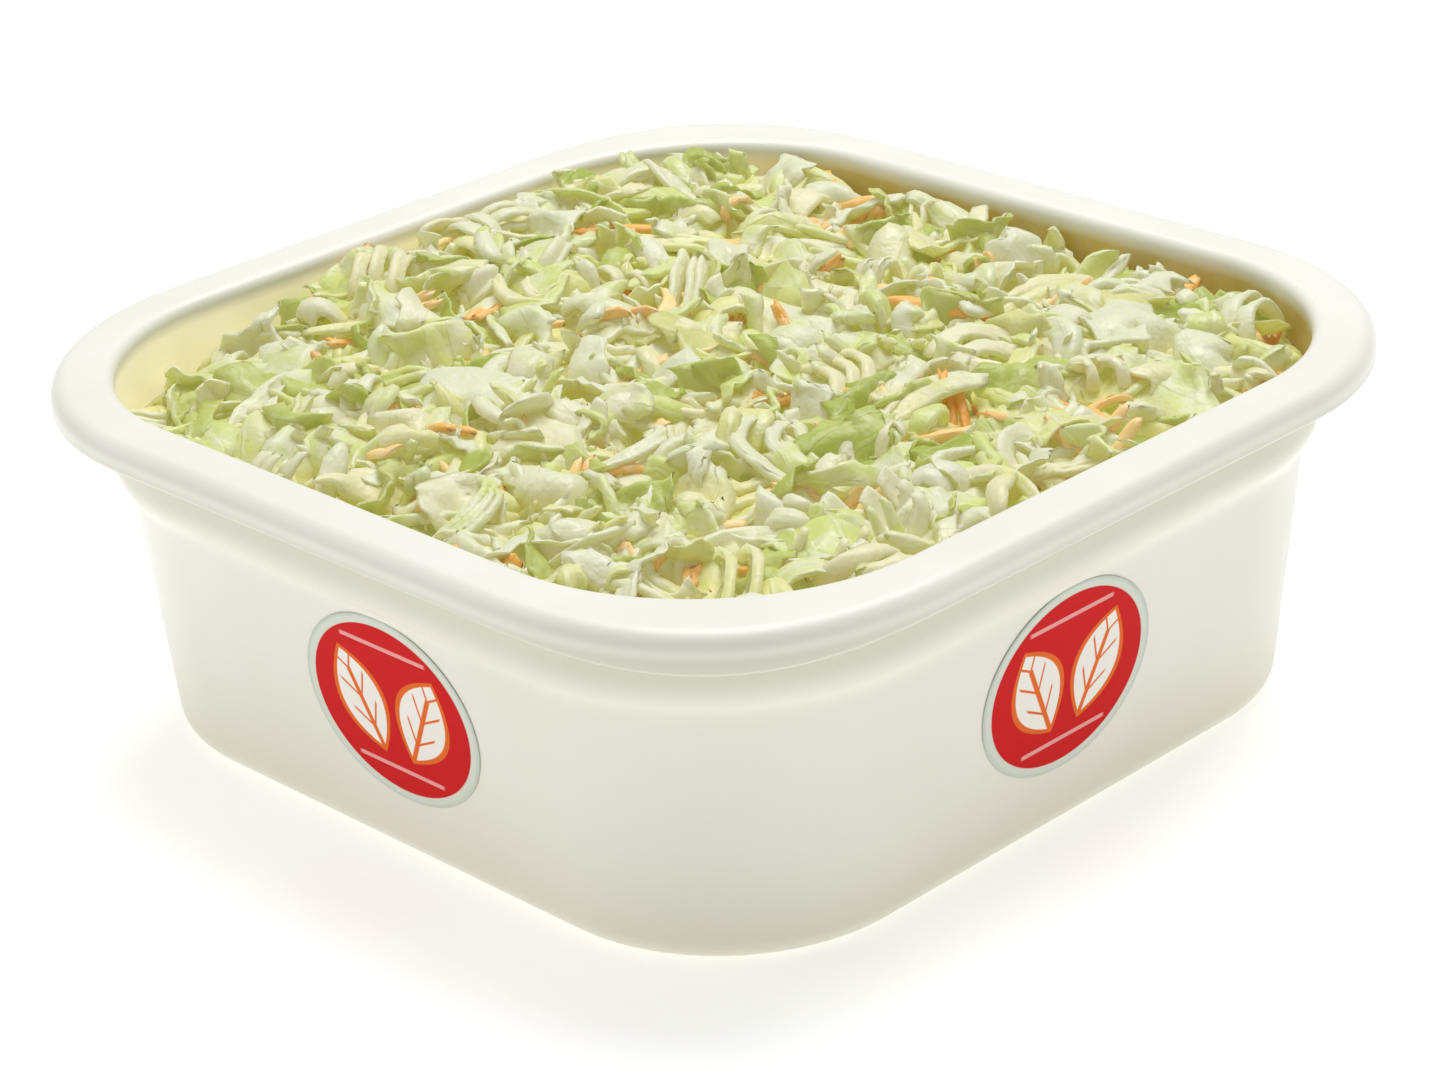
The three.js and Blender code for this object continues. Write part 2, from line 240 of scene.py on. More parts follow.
# The studio
FLOOR_REACH = 3.0
SKY_COLOUR = (1.0, 1.0, 0.99, 1)
SKY_STRENGTH = 0.36
LIGHT_AIM = (0, 0, 0.03)
LIGHTS = [  # name, place, size, power and colour
    ("key_light", (-0.12, 0.3, 1.0), 0.8, 10.6, (0.97, 0.98, 1.0)),
    ("side_light", (-0.75, -0.65, 0.4), 0.6, 1.2, (1, 1, 1)),
]


def shade(red, green, blue):
    """A colour given as on a screen, 0 to 255, as the linear colour that a shader takes."""
    def linear(part):
        part /= 255
        return part / 12.92 if part <= 0.04045 else ((part + 0.055) / 1.055) ** 2.4
    return (linear(red), linear(green), linear(blue), 1.0)


class Field:
    """A value that changes over a surface. Its operators add the Math nodes."""

    def __init__(self, finish, socket):
        self.finish = finish
        self.socket = socket

    def maths(self, operation, *values):
        return self.finish.node("ShaderNodeMath", {"operation": operation}, dict(enumerate(values)))

    def __add__(self, other):
        return self.maths("ADD", self, other)

    def __sub__(self, other):
        return self.maths("SUBTRACT", self, other)

    def __mul__(self, other):
        return self.maths("MULTIPLY", self, other)

    def __truediv__(self, other):
        return self.maths("DIVIDE", self, other)

    def __pow__(self, other):
        return self.maths("POWER", self, other)

    def __rsub__(self, other):
        return self.maths("SUBTRACT", other, self)

    def __abs__(self):
        return self.maths("ABSOLUTE", self)

    __radd__ = __add__
    __rmul__ = __mul__

    def larger(self, other):
        return self.maths("MAXIMUM", self, other)

    def sine(self):
        return self.maths("SINE", self)

    def step(self, low, high):
        """0 below low, 1 above high, and smooth between them. low may be the larger one."""
        if low > high:
            return 1 - self.step(high, low)
        settings = {"interpolation_type": "SMOOTHSTEP"}
        return self.finish.node("ShaderNodeMapRange", settings, {0: self, 1: low, 2: high})


class Finish:
    """A material, with short calls for the nodes that this scene uses."""

    def __init__(self, name, **constants):
        self.material = bpy.data.materials.new(name)
        self.material.use_nodes = True
        self.tree = self.material.node_tree
        self.surface = self.tree.nodes["Principled BSDF"].inputs
        for socket, value in constants.items():
            self.surface[socket.replace("_", " ")].default_value = value

    def node(self, kind, settings=None, inputs=None, outlet=0):
        """Adds a node: its settings first, then its sockets. Gives back one of its outlets."""
        made = self.tree.nodes.new(kind)
        for setting, value in (settings or {}).items():
            setattr(made, setting, value)
        for socket, value in (inputs or {}).items():
            self.feed(made.inputs[socket], value)
        return Field(self, made.outputs[outlet])

    def feed(self, socket, value):
        if isinstance(value, Field):
            self.tree.links.new(value.socket, socket)
        else:
            socket.default_value = value

    def place(self):
        """Where a point is in the object, in metres."""
        return self.node("ShaderNodeTexCoord", outlet=3)

    def noted(self, name):
        """The three numbers that the mesh keeps under this name."""
        vector = self.node("ShaderNodeAttribute", {"attribute_name": name}, outlet=1)
        return self.parts(vector)

    def parts(self, vector):
        return [self.node("ShaderNodeSeparateXYZ", inputs={0: vector}, outlet=i) for i in range(3)]

    def noise(self, size, detail=2.0, roughness=0.5, distortion=0.0):
        """Soft random patches, 0 to 1, about this many millimetres across."""
        inputs = {
            "Vector": self.place(), "Scale": 1 / (size * MM), "Detail": detail,
            "Roughness": roughness, "Distortion": distortion,
        }
        return self.node("ShaderNodeTexNoise", inputs=inputs)

    def blend(self, share, first, second):
        """A colour between two colours."""
        return self.node("ShaderNodeMix", {"data_type": "RGBA"}, {0: share, 6: first, 7: second}, 2)

    def bump(self, height, depth):
        """The relief of a height from 0 to 1 that is this many millimetres deep."""
        inputs = {"Height": height, "Distance": depth * MM}
        self.feed(self.surface["Normal"], self.node("ShaderNodeBump", inputs=inputs))

    def coat(self, **fields):
        for socket, value in fields.items():
            self.feed(self.surface[socket.replace("_", " ")], value)


def tub_finish():
    """Ivory plastic with a soft gloss, a little uneven, and filmed with dressing inside. Under the rim it
    is painted darker, as shade. Inside, the tan of the dressing is partly painted shade, darker and
    yellower on one side, and on the lit side a faint painted glow stands in for the light that comes
    through its thin wall."""
    plastic = Finish("ivory_plastic", IOR=1.49, Emission_Strength=0.28)
    x, y, z = plastic.parts(plastic.place())
    cloud = plastic.noise(26, detail=1)
    grain = plastic.noise(0.5, detail=3)
    flow = plastic.noise(9, detail=2)
    smear = plastic.noise(5, detail=4).step(0.3, 0.75)
    inner, _, _ = plastic.noted("film")
    foot = z.step(*FOOT_TINT)
    # painted shade: darker under the rim, on the outside only
    skirt = z.step(*SKIRT_SHADE_TOP) * z.step(*SKIRT_SHADE_FOOT) * (1 - inner)
    inside = inner * z.step(*FILM_AND_SHADE_TOP)
    shaded_film_side = (x + y).step(*SHADED_FILM_SIDE)
    painted_glow_share = inside * x.step(*LIT_WALL)
    body = plastic.blend(cloud.step(0.3, 0.7), shade(236, 234, 222), shade(239, 237, 226))
    body = plastic.blend(foot * 0.5, body, shade(238, 232, 208))
    body = plastic.blend(skirt * 0.7, body, shade(211, 208, 190))
    # The tan inside is partly dressing and partly painted shade: painted darker and yellower on one side,
    # paler on the other
    film = plastic.blend(shaded_film_side, shade(252, 245, 212), shade(208, 180, 84))
    body = plastic.blend(inside * (0.3 + shaded_film_side * 0.45 + smear * 0.2), body, film)
    # painted glow: the inside of the wall on the lit side glows faintly, standing in for light through the
    # thin plastic
    glow = plastic.blend(painted_glow_share, shade(0, 0, 0), shade(255, 244, 204))
    plastic.coat(Base_Color=body, Roughness=0.34 + flow.step(0.3, 0.8) * 0.1 + inside * 0.06)
    plastic.coat(Emission_Color=glow)
    plastic.bump(grain * 0.25 + cloud * 0.75 + flow * 0.4, 0.05)
    return plastic.material


def sticker_finish():
    """A clear-edged sticker with a red field, pale stripes and a pair of leaves."""
    paper = Finish("printed_paper", Specular_IOR_Level=0.08)
    x, y, _ = paper.noted("spot")
    fibre = paper.noise(0.35, detail=3)
    out = ((x / STICKER_HALF_WIDTH) ** 2 + (y / STICKER_HALF_HEIGHT) ** 2) ** 0.5
    red = out.step(RED_SHARE + RED_EDGE, RED_SHARE - RED_EDGE)
    upper, lower = (
        abs(y - level).step(*STRIPE_WIDTH) * abs(x).step(*STRIPE_LENGTH) for level in STRIPE_LEVELS
    )
    stripes = upper.larger(lower)
    mirrored = abs(x) - MOTIF_MIDDLE
    along = mirrored * MOTIF_SINE + y * MOTIF_COSINE
    across = mirrored * MOTIF_COSINE - y * MOTIF_SINE
    round_leaf = abs(across) / MOTIF_HALF_WIDTH + (along / MOTIF_HALF_LENGTH) ** 2
    vein = abs(across).step(0.3, 0.46).larger(along.step(3.8, 4.2))
    side_vein = abs((abs(across) - along * 0.8).sine()).step(0.14, 0.26)
    side_vein = side_vein.larger(abs(across).step(2.2, 2.6))
    leaves = round_leaf.step(1.02, 0.98) * vein * side_vein
    outline = round_leaf.step(1.22, 1.18)
    border = paper.blend(out.step(0.985, 0.95), shade(206, 213, 201), shade(221, 226, 213))
    ink = paper.blend(fibre, shade(214, 4, 10), shade(207, 2, 6))
    ink = paper.blend(stripes * 0.75, ink, shade(248, 190, 184))
    ink = paper.blend(outline, ink, shade(234, 108, 30))
    ink = paper.blend(leaves, ink, shade(248, 243, 234))
    paper.coat(Base_Color=paper.blend(red, border, ink), Roughness=0.46 - red * 0.06 + fibre * 0.08)
    paper.bump(fibre + red * 0.6, 0.02)
    return paper.material


def cabbage_finish(name, pale, green, deep, gloss=0.34, dressed=0.5):
    """Wet cabbage: from pale to green by the piece and in patches, with pale veins and a thin coat of
    dressing. Where it lies deep it is painted darker and yellower, as shade, and a faint painted glow,
    greener where the leaves are green and lie deep, stands in for the light that the thin leaves let
    through."""
    leaf = Finish(name, IOR=1.4, Emission_Strength=LEAF_GLOW, Subsurface_Weight=0.2,
                  Subsurface_Scale=0.002, Subsurface_Radius=(0.8, 1.0, 0.4))
    tone, fresh, depth = leaf.noted("nature")
    along, across, edge = leaf.noted("lie")
    patch = leaf.noise(5, detail=2)
    fine = leaf.noise(0.7, detail=3)
    mottle = leaf.noise(2.6, detail=2)
    dressing = leaf.noise(4.5, detail=3, roughness=0.55).step(0.5, 0.7)
    green_share = (tone + (patch + mottle - 1) * 1.1 + along * 0.02 * (fresh - 0.5)).step(0.35, 1.0)
    fan = (across * 1.7 + along * 0.3 + patch * 2.5).sine()
    veins = fan.step(0.72, 0.98) * (0.35 + green_share * 0.5)
    colour = leaf.blend(green_share, pale, green)
    colour = leaf.blend(fresh.step(0.55, 0.95) * 0.5, colour, shade(216, 208, 164))
    colour = leaf.blend(veins * dressed * 0.8, colour, shade(213, 215, 194))
    colour = leaf.blend(edge.step(0.3, 1.0) * dressed * 0.6, colour, shade(211, 215, 192))
    colour = leaf.blend(dressing * dressed, colour, shade(208, 211, 193))
    # painted shade: darker and yellower the deeper a point lies in the pile
    colour = leaf.blend(depth.step(0.3, 1.0) * 0.6, colour, deep)
    # painted glow, greener on green pieces and where they lie deep
    glow_share = green_share * 0.6 + depth.step(0.2, 0.9) * 0.3
    glow = leaf.blend(glow_share, shade(184, 173, 98), shade(190, 189, 66))
    leaf.coat(Base_Color=colour, Roughness=gloss + patch * 0.16 - dressing * 0.08)
    leaf.coat(Coat_Weight=dressing * 0.25, Emission_Color=glow)
    leaf.bump(veins * 0.4 + fine * 0.3 + mottle * 0.9 + dressing * 0.3, 0.3)
    return leaf.material


def carrot_finish():
    """Grated carrot, paler where the dressing lies on it, painted darker where it lies deep, as shade, and
    with a faint painted glow.
    """
    stick = Finish("cut_carrot", IOR=1.4, Emission_Strength=0.12)
    tone, _, depth = stick.noted("nature")
    _, across, _ = stick.noted("lie")
    fine = stick.noise(0.5, detail=3)
    fibre = (across * 6 + fine * 3).sine() * 0.5 + 0.5
    dressing = stick.noise(3, detail=4, roughness=0.6).step(0.46, 0.66)
    colour = stick.blend(tone.step(0.1, 0.9), shade(243, 212, 150), shade(236, 176, 88))
    colour = stick.blend(fibre * 0.2, colour, shade(238, 176, 88))
    colour = stick.blend(dressing * 0.45, colour, shade(240, 224, 184))
    # painted shade: darker the deeper a point lies
    colour = stick.blend(depth.step(0.45, 1.0) * 0.75, colour, shade(212, 138, 56))
    stick.coat(Base_Color=colour, Roughness=0.36 + fine * 0.12)
    # painted glow in the carrot's own colour
    stick.coat(Coat_Weight=dressing * 0.15, Emission_Color=colour)
    stick.bump(fibre * 0.6 + fine * 0.5, 0.1)
    return stick.material


def bed_finish():
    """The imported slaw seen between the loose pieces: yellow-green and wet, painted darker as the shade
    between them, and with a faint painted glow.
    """
    bed = Finish("packed_slaw", IOR=1.4, Emission_Strength=LEAF_GLOW)
    strands = bed.noise(2.2, detail=4, distortion=1.4)
    patch = bed.noise(9, detail=2)
    fine = bed.noise(0.8, detail=3)
    # painted shade: dark olive, the shade between the loose pieces
    colour = bed.blend(strands.step(0.3, 0.7), shade(186, 178, 92), shade(212, 211, 146))
    colour = bed.blend(patch.step(0.45, 0.75) * 0.5, colour, shade(196, 198, 118))
    bed.coat(Base_Color=colour, Roughness=0.32 + fine * 0.15, Coat_Weight=patch * 0.4)
    # painted glow in the bed's own colour
    bed.coat(Emission_Color=colour)
    bed.bump(strands + fine * 0.3, 0.8)
    return bed.material


def floor_finish():
    """A plain white studio floor."""
    board = Finish("pale_floor", Specular_IOR_Level=0.2, Emission_Strength=0.43)
    haze = board.noise(240, detail=1)
    white = board.blend(haze, shade(242, 242, 240), shade(245, 245, 243))
    board.coat(Base_Color=white, Roughness=0.6 + haze * 0.1)
    return board.material


def solid_piece(name, points, faces, material, notes=None):
    """A smooth mesh from points in millimetres, with any notes that its material reads."""
    mesh = bpy.data.meshes.new(name)
    mesh.from_pydata((np.asarray(points, float) * MM).tolist(), [], faces)
    for note, values in (notes or {}).items():
        field = mesh.attributes.new(note, "FLOAT_VECTOR", "POINT")
        field.data.foreach_set("vector", np.asarray(values, np.float32).ravel())
    mesh.polygons.foreach_set("use_smooth", [True] * len(mesh.polygons))
    mesh.materials.append(material)
    mesh.update()
    piece = bpy.data.objects.new(name, mesh)
    bpy.context.scene.collection.objects.link(piece)
    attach(piece, "root")
    return piece


def square_columns():
    """The columns of a rounded square: the points of the core square, and the ways they face."""
    cores, facings = [], []
    for quarter in range(4):
        start = quarter * math.pi / 2
        turn = np.array([[math.cos(start), -math.sin(start)], [math.sin(start), math.cos(start)]])
        corner = turn @ (CORE_HALF, CORE_HALF)
        for i in range(ARC_STEPS + 1):
            angle = start + i / ARC_STEPS * math.pi / 2
            cores.append(corner)
            facings.append((math.cos(angle), math.sin(angle)))
        for i in range(1, SIDE_STEPS):
            cores.append(corner + (turn @ (-CORE_HALF, CORE_HALF) - corner) * i / SIDE_STEPS)
            facings.append(facings[-1])
    return np.array(cores), np.array(facings)


def rings_to_faces(ring_count, column_count):
    """Quads between rings of columns, and a fan at each end, where a ring is one point."""
    def at(row, column):
        return 1 + (row - 1) * column_count + column % column_count
    last = 1 + (ring_count - 2) * column_count
    faces = []
    for left in range(column_count):
        right = left + 1
        faces.append((0, at(1, right), at(1, left)))
        for row in range(1, ring_count - 2):
            faces.append((at(row, left), at(row, right), at(row + 1, right), at(row + 1, left)))
        faces.append((at(ring_count - 2, left), at(ring_count - 2, right), last))
    return faces


def square_lathe(rings):
    """The points and faces of a closed body with rounded-square rings, from bottom to top.
    A ring is its half, its height, its share (0 for the end points), and its share of the lip
    in reach and in drop."""
    cores, facings = square_columns()
    lip = np.maximum(-2 * facings[:, 0] * facings[:, 1], 0) ** 2
    points = []
    for half, z, share, out, down in rings:
        reach = half - CORE_HALF + out * LIP_REACH * lip
        plan = share * (cores + facings * reach[:, None])
        loop = np.column_stack([plan, z - down * LIP_DROP * lip])
        points.append(loop if share > 0 else loop[:1])
    return np.vstack(points), rings_to_faces(len(rings), len(cores))


def ring(half, z, share=1.0, out=0.0, down=0.0):
    return (half, z, share, out, down)


def turned(half, z, radius, start, end, steps, out=0.0, down=0.0):
    """Rings round an arc of the profile, between two angles in degrees."""
    angles = np.radians(np.linspace(start, end, steps + 1))
    return [ring(half + radius * math.cos(a), z + radius * math.sin(a), 1.0, out, down) for a in angles]


def shoulder_rings(inset, steps=9):
    """The shoulder's rounded underside, from the top of the wall out and up. It leaves the wall
    in a soft hollow."""
    outline = []
    for i in range(steps + 1):
        angle = SHOULDER_SLOPE + (math.pi / 2 - SHOULDER_SLOPE) * i / steps
        low = math.sin(SHOULDER_SLOPE)
        out = (math.sin(angle) - low) / (1 - low) * (SHOULDER_HALF - WALL_TOP_HALF)
        rise = (1 - math.cos(angle) / math.cos(SHOULDER_SLOPE)) * (SHOULDER_LEVEL - WALL_TOP)
        outline.append(np.array([WALL_TOP_HALF - inset + out, WALL_TOP + rise]))
    lean = (WALL_TOP_HALF - WALL_FOOT_HALF) / (WALL_TOP - FOOT_R)
    start = outline[0] - HOLLOW * np.array([lean, 1])
    hollow = []
    for share in np.linspace(0, 1, 7)[:-1]:
        first = start + (outline[0] - start) * share
        second = outline[0] + (outline[2] - outline[0]) * share
        hollow.append(first + (second - first) * share)
    return [ring(*point) for point in hollow + outline[2:]]


def wall_rings(inset, foot, steps=7):
    """The leaning wall between its foot and the shoulder, without its ends."""
    lean_out = WALL_TOP_HALF - WALL_FOOT_HALF
    shares = [i / steps for i in range(1, steps)]
    return [ring(WALL_FOOT_HALF - inset + lean_out * s, foot + (WALL_TOP - foot) * s) for s in shares]


def build_tub():
    under_rim = TUB_HEIGHT - WALL
    skirt_foot = TUB_HEIGHT - SKIRT_DROP
    skirt_middle = RIM_HALF - SKIRT_WALL / 2
    skirt_root = RIM_HALF - SKIRT_WALL - SKIRT_ROOT_R
    rim_top = RIM_HALF - RIM_EDGE_R
    mouth_top = MOUTH_HALF + MOUTH_EDGE_R
    bowl_r = FOOT_R - WALL
    bowl_half = WALL_FOOT_HALF - WALL - bowl_r
    base = [ring(RECESS_HALF, RECESS_DEPTH, share) for share in (0, 0.3, 0.6, 0.9, 0.985)]
    base += [ring(RECESS_HALF + out, z) for out, z in RECESS_EDGE]
    outside = turned(WALL_FOOT_HALF - FOOT_R, FOOT_R, FOOT_R, -90, 0, 10)
    outside += wall_rings(0, FOOT_R) + shoulder_rings(0)
    outside += [ring(SHOULDER_HALF, z) for z in (SHOULDER_LEVEL + 4, under_rim - 3)]
    outside += turned(SHOULDER_HALF + RIM_ROOT_R, under_rim - RIM_ROOT_R, RIM_ROOT_R, 180, 90, 5)
    outside += turned(skirt_root, under_rim - SKIRT_ROOT_R, SKIRT_ROOT_R, 90, 0, 4, out=1)
    skirt = turned(skirt_middle, skirt_foot + SKIRT_WALL / 2, SKIRT_WALL / 2, 180, 360, 8, out=1, down=1)
    rim = turned(rim_top, TUB_HEIGHT - RIM_EDGE_R, RIM_EDGE_R, 0, 90, 9, out=1)
    crown = [ring(rim_top + (mouth_top - rim_top) * s, TUB_HEIGHT, 1, 1 - s) for s in (0.25, 0.5, 0.75)]
    mouth = turned(mouth_top, TUB_HEIGHT - MOUTH_EDGE_R, MOUTH_EDGE_R, 90, 180, 8)
    inside = [ring(MOUTH_HALF, z) for z in (TUB_HEIGHT - 3, TUB_HEIGHT - 6, SHOULDER_LEVEL + 3)]
    inside += shoulder_rings(WALL)[::-1] + wall_rings(WALL, FLOOR_TOP + bowl_r)[::-1]
    inside += turned(bowl_half, FLOOR_TOP + bowl_r, bowl_r, 0, -90, 8)
    inside += [ring(RECESS_HALF, FLOOR_TOP, share) for share in (0.9, 0.6, 0.3, 0)]
    points, faces = square_lathe(base + outside + skirt + rim + crown + mouth + inside)
    film = np.zeros((len(points), 3))
    film[-(len(inside) - 1) * len(square_columns()[0]) - 1:, 0] = 1
    tub = solid_piece("tub_shell", points, faces, tub_finish(), {"film": film})
    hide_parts("tub")


def build_sticker(name, node, turn, shift, material):
    """A thin oval laid flat on the leaning wall, its edge rounded over."""
    lean = math.atan2(WALL_TOP_HALF - WALL_FOOT_HALF, WALL_TOP - FOOT_R)
    wall_half = WALL_FOOT_HALF + math.tan(lean) * (STICKER_LEVEL - FOOT_R)
    profile = [(s, 0.0) for s in (0, 0.5, 0.9)]
    profile += [(0.994, 0.0), (1.0, 0.5), (0.994, 1.0), (0.97, 1.0)]
    profile += [(s, 1.0) for s in (0.8, 0.6, 0.4, 0.2, 0)]
    angles = np.linspace(0, 2 * math.pi, STICKER_STEPS, endpoint=False)
    oval = np.column_stack([STICKER_HALF_WIDTH * np.cos(angles), STICKER_HALF_HEIGHT * np.sin(angles)])
    points, spots = [], []
    for share, layer in profile:
        flat = oval * share if share > 0 else np.zeros((1, 2))
        off = STICKER_LIFT + layer * STICKER_THICKNESS
        points.append(np.column_stack([
            shift + flat[:, 0],
            -wall_half - flat[:, 1] * math.sin(lean) - off * math.cos(lean),
            STICKER_LEVEL + flat[:, 1] * math.cos(lean) - off * math.sin(lean),
        ]))
        spots.append(np.column_stack([flat, np.zeros(len(flat))]))
    points = np.vstack(points) @ np.array(Matrix.Rotation(turn, 3, "Z")).T
    faces = rings_to_faces(len(profile), STICKER_STEPS)
    sticker = solid_piece(name, points, faces, material, {"spot": np.vstack(spots)})
    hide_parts(node)


def half_at(x, y):
    """The half of the rounded square that passes through a point of the plan."""
    dx = np.maximum(np.abs(x) - CORE_HALF, 0)
    dy = np.maximum(np.abs(y) - CORE_HALF, 0)
    inner = np.maximum(np.abs(x), np.abs(y))
    return np.where(dx + dy > 0, CORE_HALF + np.hypot(dx, dy), inner)


def heap_level(x, y):
    """The level of the heap: a low dome with gentle lumps and a few dips."""
    share = np.minimum(half_at(x, y) / SLAW_HALF, 1)
    turn = 2 * math.pi / LUMP_LENGTH
    lumps = np.sin(x * turn + 1.3 * np.sin(y * turn * 0.6)) * np.cos(y * turn * 0.85 + 0.7)
    level = HEAP_EDGE_LEVEL + HEAP_RISE * (1 - share ** 3) + LUMP_HEIGHT * lumps
    for dip_x, dip_y, depth, reach in DIPS:
        level = level - depth * np.exp(-((x - dip_x) ** 2 + (y - dip_y) ** 2) / reach ** 2)
    return level


def bank_height(x, y):
    """How much higher the slaw stands where it is banked up against a wall."""
    return sum(height * np.exp(-((x - bank_x) ** 2 + (y - bank_y) ** 2) / reach ** 2)
               for bank_x, bank_y, height, reach in BANKS)


def pile_level(x, y):
    """The level of the pile: the heap's, its banks, and mounds that fade out at the walls."""
    turn = 2 * math.pi / MOUND_LENGTH
    mounds = np.sin(x * turn + 2.1) * np.sin(y * turn * 0.9 + 0.4)
    mounds = mounds + 0.6 * np.sin((x - y) * turn * 1.7 + 1.0)
    share = np.minimum(half_at(x, y) / SLAW_HALF, 1)
    return heap_level(x, y) + bank_height(x, y) + MOUND_HEIGHT * mounds * (1 - share ** 5)


def pile_limit(x, y):
    """How high a piece may lie: up to the rim at the walls, and over it in the middle."""
    dome = PILE_DOME * (1 - np.minimum(half_at(x, y) / SLAW_HALF, 1) ** 4)
    return PILE_TOP + dome + bank_height(x, y) * BANK_SHARE


def strand_relief(x, y):
    """Ridges like packed strands, from -1 to 1, that cross in a few directions."""
    relief = 0
    for turn, pitch, sway in STRANDS:
        along = x * math.cos(turn) + y * math.sin(turn)
        across = y * math.cos(turn) - x * math.sin(turn)
        swayed = across + sway * np.sin(along / SWAY_LENGTH + turn)
        relief = relief + np.sin(2 * math.pi * swayed / pitch)
    return relief / len(STRANDS)


def build_bed():
    """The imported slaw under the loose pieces, which fills the tub."""
    floor = FLOOR_TOP + SLAW_GAP
    foot = WALL_FOOT_HALF - WALL - SLAW_GAP
    foot_r = FOOT_R - WALL
    rings = [ring(foot - foot_r, floor, share) for share in (0, 0.5, 1)]
    rings += turned(foot - foot_r, floor + foot_r, foot_r, -90, 0, 4)[1:]
    rings += [ring(half - SLAW_GAP, z) for half, z, *_ in shoulder_rings(WALL)]
    shares = np.linspace(1, 0, BED_RINGS)
    rings += [ring(SLAW_HALF, 0, share) for share in shares]
    points, faces = square_lathe(rings)
    top = points[-((len(shares) - 1) * len(square_columns()[0]) + 1):]
    x, y = top[:, 0], top[:, 1]
    top[:, 2] = pile_level(x, y) - BED_DROP + BED_RELIEF * strand_relief(x, y)
    bed = solid_piece("slaw_bed", points, faces, bed_finish())
    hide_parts("slaw")


class Pile:
    """How high the slaw stands so far, over a fine grid, while the pieces are laid on it."""

    def __init__(self):
        self.count = int(2 * (SLAW_HALF + PILE_MARGIN) / PILE_CELL)
        middles = (np.arange(self.count) + 0.5 - self.count / 2) * PILE_CELL
        x, y = np.meshgrid(middles, middles, indexing="ij")
        self.heights = pile_level(x, y) - BED_DROP

    def cell(self, x, y):
        i = np.clip((x / PILE_CELL + self.count / 2).astype(int), 0, self.count - 1)
        j = np.clip((y / PILE_CELL + self.count / 2).astype(int), 0, self.count - 1)
        return i, j

    def level(self, x, y):
        return self.heights[self.cell(x, y)]

    def add(self, x, y, z):
        cell = self.cell(x, y)
        np.maximum.at(self.heights, cell, self.heights[cell] * OLD_SHARE + z * NEW_SHARE)


def grid_lines(count, inset):
    """Places from -1 to 1, with a second place close to each end so that the edge stays blunt."""
    inner = np.linspace(-1 + inset, 1 - inset, count - 2)
    return np.concatenate([[-1], inner, [1]])


def notches(uu, pitches, phases):
    """Large, middling and small notches along an edge."""
    sizes = (1, 0.6, 0.35)
    return sum(size * np.sin(pitch * uu + phase) for size, pitch, phase in zip(sizes, pitches, phases))


def cut_piece(cut, draw):
    """One piece as its middle surface, curled, bent and twisted about the origin. Gives back the
    surface, its half thicknesses, and where each point is along and across the piece."""
    length, width = draw.uniform(*cut["length"]), draw.uniform(*cut["width"])
    thick, blunt = draw.uniform(*cut["thick"]), draw.uniform(*cut["blunt"])
    u = grid_lines(cut["grid"][0], min(thick / length, 0.4))
    v = grid_lines(cut["grid"][1], min(0.9 * thick / width, 0.5))
    phases = draw.uniform(0, 2 * math.pi, 8)
    uu, vv = np.meshgrid(u, v, indexing="ij")
    one_edge = notches(uu, (5.3, 11, 21), phases[[0, 1, 2]])
    other_edge = notches(uu, (4.7, 12, 19), phases[[2, 3, 1]])
    ragged = np.where(vv > 0, one_edge, other_edge)
    body = 1 - (1 - blunt) * np.abs(uu) ** 2.6
    across = width / 2 * vv * body * (1 + cut["ragged"] * ragged)
    slant = draw.uniform(-0.5, 0.5)
    torn = cut["ragged"] * width * np.sin(3 * vv + phases[4])
    along = length / 2 * uu + (slant * across + torn * np.sign(uu)) * uu ** 2
    curl, bend, twist, cup = (draw.normal(0, cut[turn] * 0.6) for turn in ("curl", "bend", "twist", "cup"))
    share = along / length
    pitch = curl * 2 * share + 0.5 * curl * np.sin(4 * share + phases[5])
    heading = bend * 2 * share
    spin = twist * 2 * share
    step = np.gradient(share, axis=0)
    flat = step * np.cos(pitch)
    steps = np.stack([flat * np.cos(heading), flat * np.sin(heading), step * np.sin(pitch)], axis=-1)
    middle = length * np.cumsum(steps, axis=0)
    wave = np.sin(along * 0.8 + phases[6]) * np.cos(across * 0.9 + phases[7])
    wave = wave + 0.4 * np.sin(along * 1.9 + across * 0.7 + phases[7]) * np.sin(across * 1.8 + phases[6])
    lift = cup * width * 0.5 * (vv ** 2 - 0.4) * body + cut["crinkle"] * wave * (0.5 + np.abs(vv))
    level = np.cos(spin)
    side = np.stack([-np.sin(heading) * level, np.cos(heading) * level, np.sin(spin)], axis=-1)
    up = np.stack([-np.sin(pitch), -np.sin(spin), np.cos(pitch) * level], axis=-1)
    surface = middle + side * across[..., None] + up * lift[..., None]
    edge_v = np.abs(vv) ** cut["round"]
    edge_u = np.abs(uu) ** (2 * cut["round"])
    half_thick = thick / 2 * np.sqrt(np.maximum(1 - edge_v, 0)) * np.sqrt(np.maximum(1 - edge_u, 0))
    return surface - surface.mean(axis=(0, 1)), half_thick, along, across


